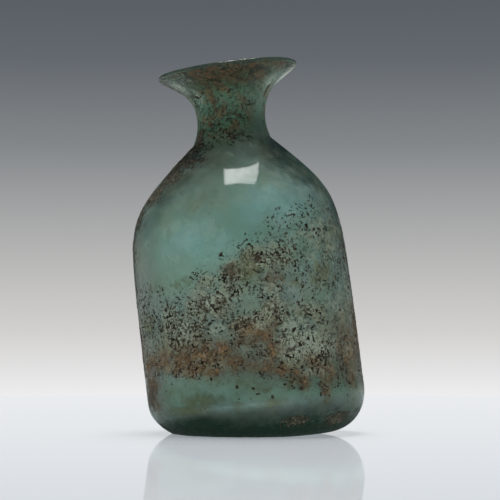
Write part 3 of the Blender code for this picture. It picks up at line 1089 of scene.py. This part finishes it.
# %% Pits
PIT_CELL = 0.00013
LINE_SIZE = 0.001
GAP_SIZE = 0.001
BLOT_SIZE = 0.0007
CLUSTER_SIZE = 0.004
BEND = 0.0003
BEND_SEED = 5
LEAST_DENSITY = 0.08
LINE_WIDTH = 0.055
PIT_LIFT = 0.00007
PIT_SINK = 0.00004

noise.seed_set(BEND_SEED)


def pit_cover(density, point):
    """Above 0 on worm-like lines and blots, more of them where the pitting is denser."""
    density *= min(1.0, max(0.0, 0.55 + 2.1 * noise.noise(point / CLUSTER_SIZE) + max(0.0, density - 1)))
    if density < LEAST_DENSITY:
        return 0.0
    bent = point + noise.noise_vector(point / GAP_SIZE) * BEND
    line = 1 - abs(noise.noise(bent / LINE_SIZE)) / (LINE_WIDTH + 0.05 * density)
    unbroken = noise.noise(point / GAP_SIZE + Vector((4, 9, 2))) - 0.28 + 0.40 * density
    blot = noise.noise(bent / BLOT_SIZE + Vector((8, 1, 6))) - 0.60 + 0.16 * density
    return max(min(line, unbroken * 4), blot * 5) if min(line, unbroken) > 0 or blot > 0 else 0.0


for half, turns, cell in (("front", (-92, 92), PIT_CELL), ("back", (92, 268), 1.5 * PIT_CELL)):
    sheet_piece(
        "pit_soil_" + half, pit_soil, "outside", turns, (8, 93), cell, pit_density, pit_cover,
        PIT_LIFT, PIT_SINK, rounding=1,
    )

# %% [markdown]
# A few pits are larger, and stand by themselves in the clean glass above the heel.

# %% Single pits
LONE_PIT_ROUGHNESS = 0.0005
SINGLE_PITS = [
    (-9, 14.3, 0.45, 0.6, 1.5), (-1, 13.4, 0.55, 0.4, 1.5), (1, 11.9, 0.6, 0.35, 1.4),
    (8, 10.8, 0.4, 0.6, 1.5), (15, 13.4, 0.45, 0.4, 1.4), (34.5, 9.9, 0.4, 0.7, 1.4),
    (-22, 17, 0.4, 0.5, 1.3), (40, 9.4, 0.3, 0.4, 1.2), (-9, 11.2, 0.35, 0.35, 1.2),
    (-3, 10.9, 0.3, 0.3, 1.1), (20, 12.4, 0.35, 0.3, 1.1), (-47, 16.8, 0.4, 0.35, 1.3),
    (-52, 15.2, 0.35, 0.3, 1.2), (48, 11.8, 0.4, 0.35, 1.3), (54, 9, 0.35, 0.4, 1.2),
    (90, 12, 0.5, 0.4, 1.4), (130, 14, 0.45, 0.5, 1.4), (170, 12.5, 0.4, 0.6, 1.4), (205, 14, 0.5, 0.4, 1.4),
    (250, 13, 0.4, 0.5, 1.4),
]


def lone_pit(strength, point):
    """Above 0 inside a roundish blot with an uneven edge."""
    return strength - 0.55 + 0.5 * noise.noise(point / LONE_PIT_ROUGHNESS)


sheet_piece(
    "single_pits", pit_soil, "outside", (-180, 180), (8, 18.5), 0.00018,
    partial(spot_strength, SINGLE_PITS), lone_pit, PIT_LIFT, PIT_SINK,
)

# %% [markdown]
# Mud and crust have the outline of their spots, worn ragged by a noise. The mud lies on both faces of
# the wall.

# %% Mud and crust
CRUST = [
    (-58, 78.2, 13, 2.6, 1), (-47, 74.5, 11, 2.6, 1), (-66, 75, 10, 4, 1), (-57, 70.6, 9, 3.4, 1),
    (-64, 66.5, 8, 3.6, 0.9), (-75, 61, 7, 5, 0.75), (-80, 54, 6, 6, 0.6), (-60, 82, 8, 2.6, 0.8),
    (-30, 77, 6, 1.2, 0.6), (-29, 89.5, 2.4, 2, 0.5), (-24, 97, 4, 1, 0.7), (64, 92, 2, 2.4, 0.6),
    (0, 80, 8, 1.4, 0.5), (0, 88.4, 4.5, 0.35, 0.95), (28, 80.6, 7, 0.3, 0.9), (-40, 82, 8, 3, 0.55),
    (10, 97.2, 12, 1, 0.5), (170, 78, 9, 4, 0.8), (200, 95, 8, 2.5, 0.8), (140, 70, 6, 4, 0.6),
    (19.5, 4.2, 5.5, 1.5, 0.85), (49, 3.8, 6, 2, 0.95), (33, 2.6, 5, 1, 0.6), (180, 3.5, 9, 1.6, 0.8),
    (250, 4, 7, 2, 0.8),
]


def ragged(size, push, rough):
    """A cover whose edges a noise of this size has worn away."""
    return lambda strength, point: strength * 1.15 - push + rough * noise.fractal(point / size, 0.85, 2.2, 4)


sheet_piece(
    "mud_lining", ochre_mud, "inside", (-180, 180), (6, 46), 0.00035, partial(spot_strength, MUD),
    ragged(size=0.0022, push=0.55, rough=0.5), lift=0.0005, sink=0.00002,
)
sheet_piece(
    "mud_outside", ochre_mud, "outside", (-180, 180), (6, 46), 0.0003, partial(spot_strength, MUD),
    ragged(size=0.0012, push=0.80, rough=0.7), lift=0.00012, sink=0.00003,
)
sheet_piece(
    "dried_crust", dark_crust, "outside", (-180, 180), (1.2, 97.5), 0.0003,
    partial(spot_strength, CRUST), ragged(size=0.0011, push=0.52, rough=0.6), lift=0.00022, sink=0.00003,
)

# %% [markdown]
# ## Finish
#
# The dressed bottle must keep the solid's size. The script prints how far each side of the dressed box
# reaches past the solid's box.

# %% Compare the sizes and finish
dressed_low, dressed_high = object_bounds()
grown = (*(solid_low - dressed_low), *(dressed_high - solid_high))
print("grew, mm:", [round(side / MM, 2) for side in grown])
